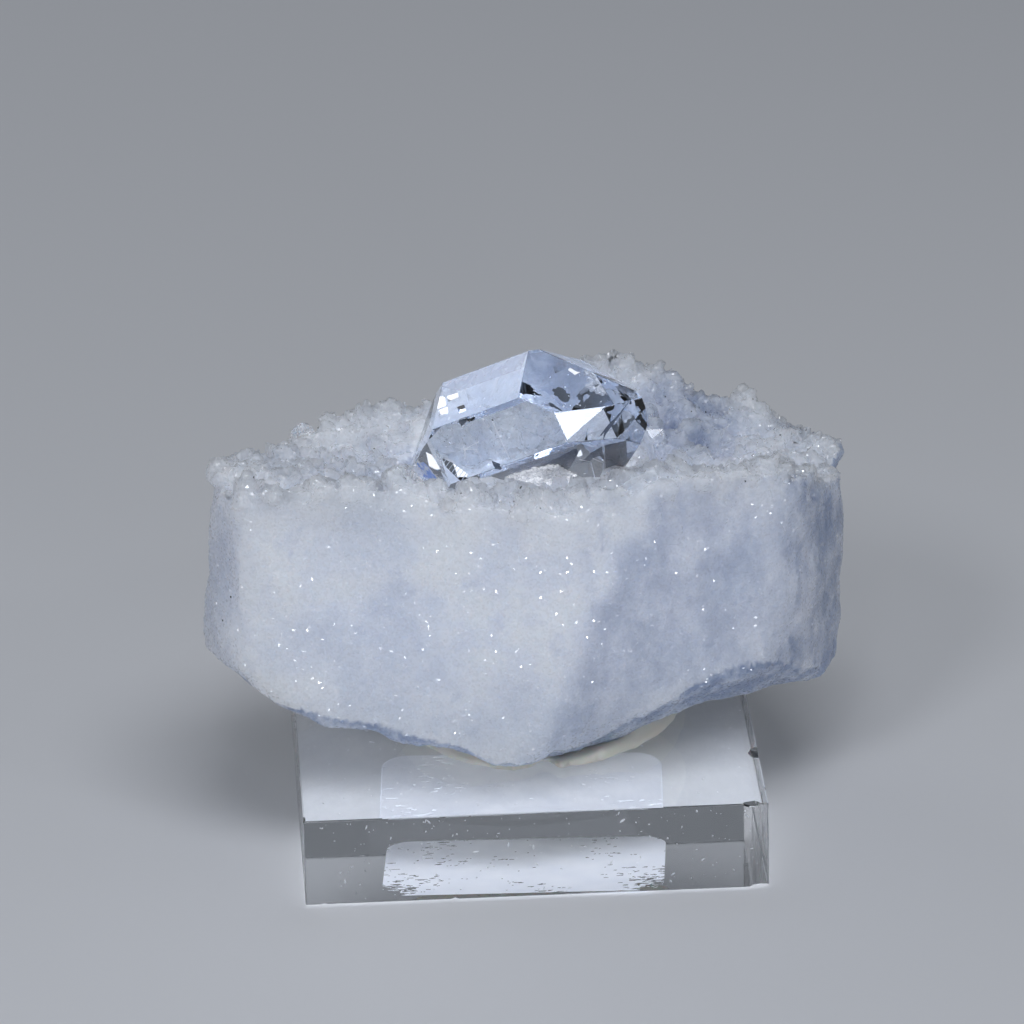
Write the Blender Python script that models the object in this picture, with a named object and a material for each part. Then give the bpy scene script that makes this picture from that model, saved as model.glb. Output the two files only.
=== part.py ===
"""A water-clear, doubly terminated quartz crystal in the hollow of its white drusy matrix.

The matrix is pressed into a disc of putty on a clear acrylic display block, and a paper
label is stuck under the block. Every size below is in millimetres. X runs along the
block's front edge, Y away from the viewer and Z up.
"""

import math

import bmesh
import bpy
import numpy as np
from mathutils import Matrix, Vector, noise

MM = 0.001

# Gap left between two pieces that touch, and the adhesive film over the label.
GAP = 0.3
ADHESIVE = 0.1

# Shift along X that puts the origin at the middle of the footprint.
FOOTPRINT_SHIFT = -0.43

# Paper label under the block.
LABEL_WIDTH = 19.5
LABEL_DEPTH = 13.3
LABEL_THICKNESS = 0.15
LABEL_CORNER = 2.0
LABEL_CENTRE = (-0.6, -8.4)
LABEL_TURN = -3.5
CORNER_STEPS = 5

# Display block, sawn from quarter-inch sheet.
BASE_SIDE = 31.75
BASE_THICKNESS = 6.35
BASE_EDGE_BREAK = 0.15
BASE_BOTTOM = LABEL_THICKNESS + ADHESIVE
BASE_TOP = BASE_BOTTOM + BASE_THICKNESS

# Putty disc, squeezed out between the block and the matrix.
PUTTY_RADIUS = 10.0
PUTTY_CENTRE = (1.0, 0.6)
PUTTY_HEIGHT = 3.4
PUTTY_SIDES = 48
PUTTY_STEPS = 6
# The outline swells and shrinks this much, in this many lobes turned by this angle.
PUTTY_WAVE = 0.35
PUTTY_LOBES = 3
PUTTY_LOBE_TURN = 0.6
# Its profile, as shares of the radius: the foot, the swell above it and the draw-in on top.
PUTTY_FOOT = 0.97
PUTTY_SWELL = 0.2
PUTTY_DRAW_IN = 0.34
PUTTY_RISE = 1.5

# Crystal. Its long axis points right, towards the viewer and up.
CRYSTAL_CENTRE = (0.7, -1.8, 28.2)
CRYSTAL_HEADING = -28.7
CRYSTAL_PITCH = 27.8
CRYSTAL_ROLL = -0.8
# The block that the natural faces are trimmed from.
CRYSTAL_BLANK = 60.0
TRIM_TOLERANCE = 1e-5
# Angle between a quartz tip face's normal and the long axis.
TIP_ANGLE = 51.8
# Distance of each natural face from the centre, six faces a ring, every 60 degrees.
PRISM_FACES = (4.9, 5.6, 4.4, 5.0, 7.9, 2.8)
UPPER_TIP_FACES = (7.4, 6.7, 6.1, 5.5, 7.0, 7.1)
LOWER_TIP_FACES = (6.5, 6.7, 7.2, 6.9, 6.5, 5.7)

# Matrix. Each row is x, y, height of the top rim, height of the lower edge, and how far
# the broken lower edge cuts back, anticlockwise from the front left corner. Heights are
# above the block's underside.
MATRIX_RIM = (
    (-19.3, -8.4, 27.6, 10.9, 0.9),
    (-15.0, -9.6, 28.0, 10.6, 0.9),
    (-9.0, -10.4, 28.1, 9.4, 0.9),
    (-5.0, -10.9, 27.6, 8.2, 0.9),
    (-1.6, -11.4, 27.2, 7.0, 0.7),
    (2.2, -11.9, 27.2, 6.9, 0.5),
    (5.2, -10.8, 27.6, 6.9, 0.9),
    (8.4, -10.3, 27.9, 7.4, 2.0),
    (12.4, -9.6, 28.0, 8.8, 3.4),
    (17.2, -8.4, 27.8, 9.8, 3.2),
    (20.2, -4.9, 26.3, 9.6, 1.4),
    (22.1, -1.0, 24.2, 9.0, 0.7),
    (22.7, 3.0, 22.8, 8.6, 0.9),
    (22.1, 7.4, 23.2, 8.6, 1.3),
    (18.9, 10.8, 24.4, 8.6, 1.5),
    (13.6, 12.2, 25.9, 8.7, 1.2),
    (8.0, 12.8, 28.3, 8.5, 1.2),
    (2.0, 12.0, 27.2, 8.5, 1.2),
    (-4.0, 10.2, 26.2, 8.9, 1.2),
    (-9.5, 8.4, 26.2, 9.5, 1.2),
    (-15.0, 6.9, 25.8, 9.9, 1.4),
    (-18.9, 4.0, 25.3, 10.6, 1.4),
    (-20.7, -0.5, 26.7, 11.4, 1.2),
    (-20.9, -5.2, 27.7, 11.9, 0.8),
)
MATRIX_HUB = (0.0, 0.5)
MATRIX_SIDES = 84
HOLLOW_FLOOR = 23.8
HOLLOW_CURVE = 1.7
KEEL_HEIGHT = 7.9
KEEL_CURVE = 1.3
TOP_RINGS = 9
WALL_RINGS = 7
UNDER_RINGS = 7
RIM_ROUND = 1.3
RIM_SHOULDER = 0.3 * RIM_ROUND
# The walls end this many chamfers above the lower edge.
CHAMFER_HEIGHT = 1.15
WALL_BULGE = 0.35
# The foot of the walls stands this far to the left of the rim.
WALL_SHIFT = 0.8
ROCK_ROUGHNESS = 0.4
ROCK_GRAIN = 4.0
ROCK_SOFTNESS = 0.8
ROCK_DETAIL = 2.1
ROCK_LAYERS = 4


def material(name, colour, roughness, **inputs):
    """A Principled material with the piece's own colour and finish."""
    made = bpy.data.materials.new(name)
    made.use_nodes = True
    shader = made.node_tree.nodes["Principled BSDF"]
    shader.inputs["Base Color"].default_value = (*colour, 1.0)
    shader.inputs["Roughness"].default_value = roughness
    shader.inputs["Metallic"].default_value = 0.0
    for key, value in inputs.items():
        shader.inputs[key.replace("_", " ")].default_value = value
    return made


def add_object(name, bm, finish=None):
    """Turns a bmesh in millimetres into an object in metres."""
    bmesh.ops.recalc_face_normals(bm, faces=bm.faces)
    bm.transform(Matrix.Scale(MM, 4))
    mesh = bpy.data.meshes.new(name)
    bm.to_mesh(mesh)
    bm.free()
    made = bpy.data.objects.new(name, mesh)
    bpy.context.scene.collection.objects.link(made)
    if finish is not None:
        mesh.materials.append(finish)
    return made


def hide_cutter(cutter):
    """A cutter shapes its neighbour and is no piece itself."""
    cutter.hide_render = True
    cutter.display_type = "WIRE"


def cut(piece, cutter):
    """Takes the cutter's shape out of the piece."""
    boolean = piece.modifiers.new(f"cut by {cutter.name}", "BOOLEAN")
    boolean.operation = "DIFFERENCE"
    boolean.solver = "EXACT"
    boolean.object = cutter


def quartz_form(extra):
    """The crystal: a block trimmed along each natural face, extra millimetres further out."""
    turn = (
        Matrix.Rotation(math.radians(CRYSTAL_HEADING), 3, "Z")
        @ Matrix.Rotation(math.radians(-CRYSTAL_PITCH), 3, "Y")
        @ Matrix.Rotation(math.radians(CRYSTAL_ROLL), 3, "X")
    )
    lean = math.radians(TIP_ANGLE)
    bm = bmesh.new()
    bmesh.ops.create_cube(bm, size=CRYSTAL_BLANK)
    rings = (
        (PRISM_FACES, 0.0, 1.0),
        (UPPER_TIP_FACES, math.cos(lean), math.sin(lean)),
        (LOWER_TIP_FACES, -math.cos(lean), math.sin(lean)),
    )
    for distances, along, across in rings:
        for step, distance in enumerate(distances):
            angle = 2 * math.pi * step / len(distances)
            normal = Vector((along, -across * math.cos(angle), across * math.sin(angle)))
            made = bmesh.ops.bisect_plane(
                bm,
                geom=bm.verts[:] + bm.edges[:] + bm.faces[:],
                dist=TRIM_TOLERANCE,
                plane_co=normal * (distance + extra),
                plane_no=normal,
                clear_outer=True,
            )
            rim = [item for item in made["geom_cut"] if isinstance(item, bmesh.types.BMEdge)]
            bmesh.ops.edgeloop_fill(bm, edges=rim)
    bm.transform(turn.to_4x4())
    bmesh.ops.translate(bm, verts=bm.verts, vec=Vector(CRYSTAL_CENTRE) + Vector((0, 0, BASE_BOTTOM)))
    return bm


def closed_curve(rows, count):
    """Points along a smooth closed curve through the rows, by Catmull-Rom."""
    rows = np.array(rows, float)
    spots = np.arange(count) * len(rows) / count
    index = spots.astype(int)
    t = (spots - index)[:, None]
    before, here, after, beyond = (rows[(index + k) % len(rows)] for k in (-1, 0, 1, 2))
    return 0.5 * (
        2 * here
        + (after - before) * t
        + (2 * before - 5 * here + 4 * after - beyond) * t**2
        + (3 * here - before - 3 * after + beyond) * t**3
    )


def bridge(bm, rings):
    """Faces between rings of points, with a fan on the first and last point."""
    made = [[bm.verts.new(point) for point in ring] for ring in rings]
    for low, high in zip(made[:-1], made[1:]):
        sides = max(len(low), len(high))
        for k in range(sides):
            corners = [low[k % len(low)], low[(k + 1) % len(low)]]
            corners += [high[(k + 1) % len(high)], high[k % len(high)]]
            unique = list(dict.fromkeys(corners))
            bm.faces.new(unique)
    return bm


def matrix_form():
    """The matrix: a hollow drusy top, broken walls and an underside that narrows to a keel."""
    rim = closed_curve(MATRIX_RIM, MATRIX_SIDES)
    hub = np.array(MATRIX_HUB)
    plan, top, low, chamfer = rim[:, :2], rim[:, 2], rim[:, 3], rim[:, 4]
    out = plan - hub
    reach = np.linalg.norm(out, axis=1)
    out /= reach[:, None]

    def ring(inset, height, shift=0.0):
        spots = plan - out * np.broadcast_to(inset, reach.shape)[:, None]
        return np.column_stack([spots[:, 0] - shift, spots[:, 1], height])

    rings = [[(*hub, HOLLOW_FLOOR)]]
    for share in np.linspace(0, 1, TOP_RINGS + 1)[1:]:
        inner = share * (reach - RIM_ROUND)
        height = HOLLOW_FLOOR + (top - HOLLOW_FLOOR) * share**HOLLOW_CURVE
        rings.append(ring(reach - inner, height))
    rings.append(ring(RIM_SHOULDER, top - RIM_SHOULDER))
    foot = low + CHAMFER_HEIGHT * chamfer
    for share in np.linspace(0, 1, WALL_RINGS):
        height = (top - RIM_ROUND) * (1 - share) + foot * share
        bulge = WALL_BULGE * math.sin(math.pi * share)
        rings.append(ring(-bulge, height, WALL_SHIFT * share))
    for share in np.linspace(0, 1, UNDER_RINGS + 1)[:-1]:
        inner = (1 - share) * (reach - chamfer)
        height = KEEL_HEIGHT + (low - KEEL_HEIGHT) * (1 - share) ** KEEL_CURVE
        rings.append(ring(reach - inner, height, WALL_SHIFT * (1 - share)))
    rings.append([(*hub, KEEL_HEIGHT)])

    bm = bridge(bmesh.new(), rings)
    bmesh.ops.translate(bm, verts=bm.verts, vec=(0, 0, BASE_BOTTOM))
    bmesh.ops.recalc_face_normals(bm, faces=bm.faces)
    bm.normal_update()
    pushed = []
    for vert in bm.verts:
        where = vert.co / ROCK_GRAIN
        push = noise.fractal(where, ROCK_SOFTNESS, ROCK_DETAIL, ROCK_LAYERS) * ROCK_ROUGHNESS
        pushed.append(vert.co + vert.normal * push)
    lowest = BASE_TOP + GAP
    for vert, place in zip(bm.verts, pushed):
        vert.co = (place.x, place.y, max(place.z, lowest))
    bmesh.ops.triangulate(bm, faces=bm.faces)
    return bm


def putty_form():
    """The putty: a soft-edged disc with a hand-pressed, wavy outline."""
    bm = bmesh.new()
    rings = [[(*PUTTY_CENTRE, BASE_TOP + GAP)]]
    for share in np.linspace(0, 1, PUTTY_STEPS + 1):
        across = PUTTY_FOOT + PUTTY_SWELL * share - PUTTY_DRAW_IN * share**2
        level = BASE_TOP + GAP + PUTTY_HEIGHT * share**PUTTY_RISE
        ring = []
        for side in range(PUTTY_SIDES):
            angle = 2 * math.pi * side / PUTTY_SIDES
            wave = PUTTY_WAVE * math.sin(PUTTY_LOBES * angle + PUTTY_LOBE_TURN)
            radius = (PUTTY_RADIUS + wave) * across
            x = PUTTY_CENTRE[0] + radius * math.cos(angle)
            y = PUTTY_CENTRE[1] + radius * math.sin(angle)
            ring.append((x, y, level))
        rings.append(ring)
    rings.append([(*PUTTY_CENTRE, BASE_TOP + GAP + PUTTY_HEIGHT)])
    return bridge(bm, rings)


def base_form():
    """The display block: a square slab, whose edges are broken by a modifier."""
    bm = bmesh.new()
    bmesh.ops.create_cube(bm, size=1)
    bmesh.ops.scale(bm, verts=bm.verts, vec=(BASE_SIDE, BASE_SIDE, BASE_THICKNESS))
    bmesh.ops.translate(bm, verts=bm.verts, vec=(0, 0, BASE_BOTTOM + BASE_THICKNESS / 2))
    return bm


def label_form():
    """The label: a round-cornered rectangle, extruded by the paper's thickness."""
    bm = bmesh.new()
    outline = []
    for corner in range(4):
        start = 90 * corner
        middle = math.radians(start + 45)
        cx = math.copysign(LABEL_WIDTH / 2 - LABEL_CORNER, math.cos(middle))
        cy = math.copysign(LABEL_DEPTH / 2 - LABEL_CORNER, math.sin(middle))
        for step in range(CORNER_STEPS + 1):
            angle = math.radians(start + 90 * step / CORNER_STEPS)
            spot = (cx + LABEL_CORNER * math.cos(angle), cy + LABEL_CORNER * math.sin(angle), 0)
            outline.append(bm.verts.new(spot))
    sheet = bm.faces.new(outline)
    raised = bmesh.ops.extrude_face_region(bm, geom=[sheet])["geom"]
    lifted = [item for item in raised if isinstance(item, bmesh.types.BMVert)]
    bmesh.ops.translate(bm, verts=lifted, vec=(0, 0, LABEL_THICKNESS))
    bm.transform(Matrix.Rotation(math.radians(LABEL_TURN), 4, "Z"))
    bmesh.ops.translate(bm, verts=bm.verts, vec=(*LABEL_CENTRE, 0))
    return bm


for old in list(bpy.data.objects):
    bpy.data.objects.remove(old, do_unlink=True)

quartz = material("clear quartz", (0.96, 0.97, 1.0), 0.0, Transmission_Weight=1.0, IOR=1.544)
marble = material("sugary white matrix", (0.80, 0.82, 0.86), 0.55)
tack = material("mineral putty", (0.74, 0.72, 0.62), 0.6)
acrylic = material("clear acrylic", (0.97, 0.98, 0.98), 0.02, Transmission_Weight=1.0, IOR=1.49)
paper = material("label paper", (0.82, 0.83, 0.85), 0.8)

# The origin is the middle of the specimen's footprint, at table level.
specimen = bpy.data.objects.new("specimen", None)
bpy.context.scene.collection.objects.link(specimen)
specimen.location.x = FOOTPRINT_SHIFT * MM

crystal = add_object("crystal", quartz_form(0), quartz)
socket = add_object("crystal socket", quartz_form(GAP))
hide_cutter(socket)

matrix = add_object("matrix", matrix_form(), marble)
cut(matrix, socket)

putty_mould = add_object("putty mould", matrix_form())
swell = putty_mould.modifiers.new("clearance", "DISPLACE")
swell.strength = GAP * MM
swell.mid_level = 0
hide_cutter(putty_mould)
putty = add_object("putty", putty_form(), tack)
cut(putty, putty_mould)

base = add_object("base", base_form(), acrylic)
edges = base.modifiers.new("broken edges", "BEVEL")
edges.width = BASE_EDGE_BREAK * MM
edges.segments = 1

label = add_object("label", label_form(), paper)

for piece in (crystal, socket, matrix, putty_mould, putty, base, label):
    piece.parent = specimen
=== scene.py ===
"""Looks of a clear quartz crystal in its drusy white matrix, puttied to an acrylic block."""

import math
import random

import bmesh
import bpy
import numpy as np
from mathutils import Matrix, Vector, noise
from mathutils.bvhtree import BVHTree


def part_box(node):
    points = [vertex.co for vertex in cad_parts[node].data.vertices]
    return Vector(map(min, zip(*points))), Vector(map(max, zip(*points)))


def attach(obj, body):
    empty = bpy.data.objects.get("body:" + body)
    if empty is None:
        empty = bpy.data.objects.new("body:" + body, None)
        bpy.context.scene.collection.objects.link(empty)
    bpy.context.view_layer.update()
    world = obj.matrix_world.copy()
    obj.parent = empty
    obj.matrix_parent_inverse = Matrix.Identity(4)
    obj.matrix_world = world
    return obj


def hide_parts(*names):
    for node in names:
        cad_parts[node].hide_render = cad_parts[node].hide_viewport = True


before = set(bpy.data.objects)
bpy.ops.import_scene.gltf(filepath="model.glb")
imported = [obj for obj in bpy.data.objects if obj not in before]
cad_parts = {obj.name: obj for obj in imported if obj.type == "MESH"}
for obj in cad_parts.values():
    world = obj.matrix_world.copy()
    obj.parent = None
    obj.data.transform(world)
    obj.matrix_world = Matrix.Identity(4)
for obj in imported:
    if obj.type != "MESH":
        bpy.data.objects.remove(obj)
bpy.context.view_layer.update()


# Camera
# A long lens, placed where the photograph was taken from. It comes first, because a few small
# features are placed by the pixel where the photograph shows them.
MM = 0.001
CAMERA_RISE = math.radians(24.0)
CAMERA_SIDE = math.radians(2.98)
CAMERA_TILT = math.radians(1.0)
CAMERA_DISTANCE = 544.91 * MM
CAMERA_OFFSET = (-0.58 * MM, 6.12 * MM)
CAMERA_AIM_HEIGHT = 15.0 * MM
FOCAL_PIXELS = 7847.0
IMAGE_SIDE = 1024
SENSOR = 36.0


def studio_camera():
    rise, side, tilt = CAMERA_RISE, CAMERA_SIDE, CAMERA_TILT
    look = Vector((math.sin(side) * math.cos(rise), math.cos(side) * math.cos(rise), -math.sin(rise)))
    level = Vector((math.cos(side), -math.sin(side), 0))
    over = level.cross(look)
    right = math.cos(tilt) * level - math.sin(tilt) * over
    top = math.sin(tilt) * level + math.cos(tilt) * over
    low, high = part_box("base")
    centre = Vector(((low.x + high.x) / 2, (low.y + high.y) / 2, low.z + CAMERA_AIM_HEIGHT))
    data = bpy.data.cameras.new("camera")
    data.sensor_width = SENSOR
    data.lens = FOCAL_PIXELS / IMAGE_SIDE * SENSOR
    data.clip_start = 10 * MM
    data.clip_end = 100
    made = bpy.data.objects.new("camera", data)
    bpy.context.scene.collection.objects.link(made)
    spot = centre - look * CAMERA_DISTANCE + right * CAMERA_OFFSET[0] + top * CAMERA_OFFSET[1]
    basis = Matrix((right, top, -look)).transposed()
    made.matrix_world = Matrix.Translation(spot) @ basis.to_4x4()
    bpy.context.scene.camera = made
    return spot, basis


CAMERA_SPOT, CAMERA_BASIS = studio_camera()


def sight(pixel):
    """The direction of the line of sight through a pixel of the 1024 pixel photograph."""
    half = IMAGE_SIDE / 2
    way = Vector(((pixel[0] - half) / FOCAL_PIXELS, (half - pixel[1]) / FOCAL_PIXELS, -1))
    return (CAMERA_BASIS @ way).normalized()


# Label
# A bare white paper label, die cut with round corners and stuck under the block's front half.
# Its glue has wetted the block in most places. Where it hasn't, a film of air is left, and
# the front of the block shows a dark fleck there in place of paper.
LABEL_SIZE = (19.5 * MM, 13.3 * MM)
LABEL_CORNER = 2.0 * MM
LABEL_TURN = math.radians(-3.5)
LABEL_CELL = 0.11 * MM
GLUE_REACH = 0.012 * MM
AIR_FILM = 0.02 * MM
FLECK_LENGTH = 0.9 * MM
FLECK_WIDTH = 0.3 * MM
DRY_LIMIT = 0.76
PAPER_WHITE = "#F2F4F8"
PAPER_GREY = "#D9DEE8"
FIBRE_WIDTH = 0.06 * MM
PULP_CLOUD = 2.5 * MM


def linear(colour):
    """An sRGB hex colour as the linear colour that a shader takes."""
    parts = [int(colour[k : k + 2], 16) / 255 for k in (1, 3, 5)]
    return (*[p / 12.92 if p <= 0.04045 else ((p + 0.055) / 1.055) ** 2.4 for p in parts], 1.0)


def add_node(tree, kind, inputs=None, **settings):
    """Adds a node. Each input, by name or number, is a value or the socket that feeds it."""
    made = tree.nodes.new(kind)
    for name, value in settings.items():
        setattr(made, name, value)
    for name, value in (inputs or {}).items():
        if isinstance(value, bpy.types.NodeSocket):
            tree.links.new(value, made.inputs[name])
        else:
            made.inputs[name].default_value = value
    return made


def new_material(name, **inputs):
    """A material, its node tree, its Principled shader and its Object coordinates."""
    made = bpy.data.materials.new(name)
    made.use_nodes = True
    tree = made.node_tree
    shader = tree.nodes["Principled BSDF"]
    for key, value in inputs.items():
        shader.inputs[key.replace("_", " ")].default_value = value
    where = add_node(tree, "ShaderNodeTexCoord").outputs["Object"]
    return made, tree, shader, where


def noise_of(tree, where, size, detail=3, roughness=0.5, kind="FBM"):
    """Soft random values whose lumps are about this size."""
    return add_node(
        tree, "ShaderNodeTexNoise",
        {"Vector": where, "Scale": 1 / size, "Detail": detail, "Roughness": roughness},
        noise_type=kind,
    ).outputs["Fac"]


def ramp(tree, value, low, high, start=0.0, end=1.0):
    """Maps a value from low..high onto start..end, clamped."""
    return add_node(
        tree, "ShaderNodeMapRange", {0: value, 1: low, 2: high, 3: start, 4: end},
        interpolation_type="SMOOTHSTEP",
    ).outputs["Result"]


def blend_colours(tree, share, low, high):
    """From one hex colour, or socket, at share 0 to another at share 1."""
    pick = [item if isinstance(item, bpy.types.NodeSocket) else linear(item) for item in (low, high)]
    return add_node(
        tree, "ShaderNodeMix", {0: share, 6: pick[0], 7: pick[1]}, data_type="RGBA"
    ).outputs[2]


def bump(tree, shader, height, distance, strength=1.0):
    """Adds relief of this depth under the shader."""
    made = add_node(
        tree, "ShaderNodeBump", {"Height": height, "Distance": distance, "Strength": strength}
    )
    tree.links.new(made.outputs["Normal"], shader.inputs["Normal"])


def add_piece(name, mesh, *materials):
    """A mesh, or a bmesh in metres, as an object at the origin."""
    if isinstance(mesh, bmesh.types.BMesh):
        bm = mesh
        mesh = bpy.data.meshes.new(name)
        bm.to_mesh(mesh)
        bm.free()
    mesh.name = name
    made = bpy.data.objects.new(name, mesh)
    bpy.context.scene.collection.objects.link(made)
    if materials:
        mesh.materials.clear()
        for item in materials:
            mesh.materials.append(item)
    return made


def label_form():
    """Round-cornered sheet. Its top wets the block, or hangs just clear of it in dry patches."""
    low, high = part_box("label")
    centre = (low + high) / 2
    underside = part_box("base")[0].z
    half_x, half_y = LABEL_SIZE[0] / 2, LABEL_SIZE[1] / 2
    rows = round(LABEL_SIZE[1] / LABEL_CELL)
    columns = round(LABEL_SIZE[0] / LABEL_CELL)
    turn = Matrix.Rotation(LABEL_TURN, 3, "Z")
    bm = bmesh.new()
    grid = []
    for row in range(rows + 1):
        y = half_y * (2 * row / rows - 1)
        past = max(0.0, abs(y) - (half_y - LABEL_CORNER))
        across = half_x - LABEL_CORNER + math.sqrt(LABEL_CORNER**2 - past**2)
        line = []
        for column in range(columns + 1):
            x = across * (2 * column / columns - 1)
            spot = turn @ Vector((x, y, 0))
            streak = noise.fractal(Vector((x / FLECK_LENGTH, y / FLECK_WIDTH, 3)), 0.8, 2.0, 4)
            patch = noise.noise(Vector((x / (4 * MM), y / (3 * MM), 7)))
            corner = max(0, abs(x) / half_x - 0.55) * max(0, -y / half_y) * 3.2
            dry = streak + 0.7 * patch + corner > DRY_LIMIT
            edge = row in (0, rows) or column in (0, columns)
            lift = -AIR_FILM if dry or edge else GLUE_REACH
            line.append(bm.verts.new((centre.x + spot.x, centre.y + spot.y, underside + lift)))
        grid.append(line)
    for front, back in zip(grid[:-1], grid[1:]):
        for a, b, c, d in zip(front[:-1], front[1:], back[1:], back[:-1]):
            bm.faces.new((a, b, c, d))
    rim = [edge for edge in bm.edges if edge.is_boundary]
    walls = bmesh.ops.extrude_edge_only(bm, edges=rim)["geom"]
    for vert in (item for item in walls if isinstance(item, bmesh.types.BMVert)):
        vert.co.z = low.z
    bmesh.ops.holes_fill(bm, edges=[edge for edge in bm.edges if edge.is_boundary])
    bmesh.ops.recalc_face_normals(bm, faces=bm.faces)
    return bm


def label_paper():
    """Uncoated label paper, calendered: matt, with faint fibres and a slightly cloudy pulp."""
    made, tree, shader, where = new_material("uncoated label paper", Roughness=0.85)
    cloud = noise_of(tree, where, PULP_CLOUD, 4)
    tree.links.new(blend_colours(tree, cloud, PAPER_WHITE, PAPER_GREY), shader.inputs["Base Color"])
    bump(tree, shader, noise_of(tree, where, FIBRE_WIDTH, 2), 0.004 * MM)
    return made


label = add_piece("paper_label", label_form(), label_paper())
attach(label, "root")
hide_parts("label")


# Display block
# A square slab of clear cast acrylic. Its top, underside, front and back are polished. The two
# ends were sawn and only partly polished, and the edges are chipped where they were knocked.
EDGE_BREAK = 0.1 * MM
CHIPS = (
    (0.93, -1.0, 1.0, 0.7), (1.0, -0.5, 1.0, 0.9), (1.0, -0.86, 1.0, 0.6),
    (-0.36, -1.0, -1.0, 0.8), (0.97, -1.0, -1.0, 1.1), (0.3, -1.0, -1.0, 0.4),
    (-1.0, -0.99, 1.0, 0.6), (-1.0, -0.4, 1.0, 0.5), (1.0, 0.62, 1.0, 1.2),
    (-0.7, 1.0, 1.0, 0.7), (0.4, 1.0, -1.0, 0.8), (-1.0, 0.7, -1.0, 0.6),
    (-0.92, -1.0, -1.0, 0.35), (-0.86, -1.0, -1.0, 0.3), (-0.79, -1.0, -1.0, 0.25),
    (0.7, -1.0, -1.0, 0.3), (0.62, -1.0, 1.0, 0.2), (-0.2, -1.0, 1.0, 0.18),
)
ACRYLIC_IOR = 1.49
SAW_PITCH = 0.35 * MM
SCRATCH_WIDTH = 0.05 * MM


def cut_away(piece, cutter):
    """Takes the cutter's shape out of the piece, then deletes the cutter."""
    boolean = piece.modifiers.new("cut", "BOOLEAN")
    boolean.operation = "DIFFERENCE"
    boolean.object = cutter
    bake(piece)
    bpy.data.objects.remove(cutter)


def bake(piece):
    """Turns the object's modifiers into its plain mesh."""
    graph = bpy.context.evaluated_depsgraph_get()
    graph.update()
    mesh = bpy.data.meshes.new_from_object(piece.evaluated_get(graph))
    piece.modifiers.clear()
    old = piece.data
    piece.data = mesh
    bpy.data.meshes.remove(old)
    mesh.name = piece.name


def block_form():
    low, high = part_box("base")
    bm = bmesh.new()
    bmesh.ops.create_cube(bm, size=1)
    bmesh.ops.scale(bm, verts=bm.verts, vec=high - low)
    bmesh.ops.translate(bm, verts=bm.verts, vec=(low + high) / 2)
    bmesh.ops.bevel(
        bm, geom=bm.edges[:], offset=EDGE_BREAK, segments=2, affect="EDGES", profile=0.5
    )
    return bm


def chip_cutters():
    """A small conchoidal bite for each chip, centred just outside its edge."""
    low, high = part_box("base")
    middle, half = (low + high) / 2, (high - low) / 2
    draw = random.Random(5)
    bm = bmesh.new()
    for right, back, up, size in CHIPS:
        made = bmesh.ops.create_icosphere(bm, subdivisions=2, radius=size * MM)
        out = Vector((right * (abs(right) == 1), back * (abs(back) == 1), up)).normalized()
        centre = middle + Vector((right * half.x, back * half.y, up * half.z)) + out * size * MM * 0.55
        stretch = Vector((draw.uniform(0.7, 1.5), draw.uniform(0.7, 1.5), draw.uniform(0.5, 0.9)))
        for vert in made["verts"]:
            dent = 1 + 0.35 * noise.noise(vert.co / (0.3 * MM) + Vector((right, back, up)) * 9)
            vert.co = centre + vert.co * stretch * dent
    return bm


def clear_acrylic():
    """Cast acrylic, polished: water clear, with faint handling scratches."""
    made, tree, shader, where = new_material(
        "polished cast acrylic", Base_Color=linear("#FBFDFF"), Roughness=0.02,
        IOR=ACRYLIC_IOR, Transmission_Weight=1.0,
    )
    stretched = add_node(tree, "ShaderNodeMapping", {"Vector": where, "Scale": (0.06, 1, 1)})
    scratch = noise_of(tree, stretched.outputs[0], SCRATCH_WIDTH, 2)
    bump(tree, shader, ramp(tree, scratch, 0.62, 0.8), 0.001 * MM, 0.4)
    return made


def sawn_acrylic():
    """Sawn end of the block, flame polished in part: fine upright saw marks, half frosted."""
    made, tree, shader, where = new_material(
        "sawn acrylic", Base_Color=linear("#F4F7FB"), IOR=ACRYLIC_IOR, Transmission_Weight=1.0
    )
    upright = add_node(tree, "ShaderNodeMapping", {"Vector": where, "Scale": (1, 1, 0.05)}).outputs[0]
    marks = noise_of(tree, upright, SAW_PITCH, 5, 0.7)
    patches = noise_of(tree, where, 4 * MM, 3)
    rough = add_node(tree, "ShaderNodeMath", {0: marks, 1: patches}, operation="MULTIPLY").outputs[0]
    tree.links.new(ramp(tree, rough, 0.16, 0.3, 0.05, 0.55), shader.inputs["Roughness"])
    bump(tree, shader, marks, 0.08 * MM, 1.0)
    return made


block = add_piece("display_block", block_form())
cut_away(block, add_piece("chips", chip_cutters()))
block.data.materials.clear()
for finish in (clear_acrylic(), sawn_acrylic()):
    block.data.materials.append(finish)
for face in block.data.polygons:
    face.material_index = int(abs(face.normal.x) > 0.9)
block.visible_shadow = False
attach(block, "root")
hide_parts("base")


# Dust
# Grit and short fibres on the block's top and front. They catch the light as white specks. The fine chips
# along the block's front bottom edge are cut with its other chips.
DUST_ON_TOP = 260
DUST_ON_FRONT = 170
DUST_SIZES = (0.02, 0.075)


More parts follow.
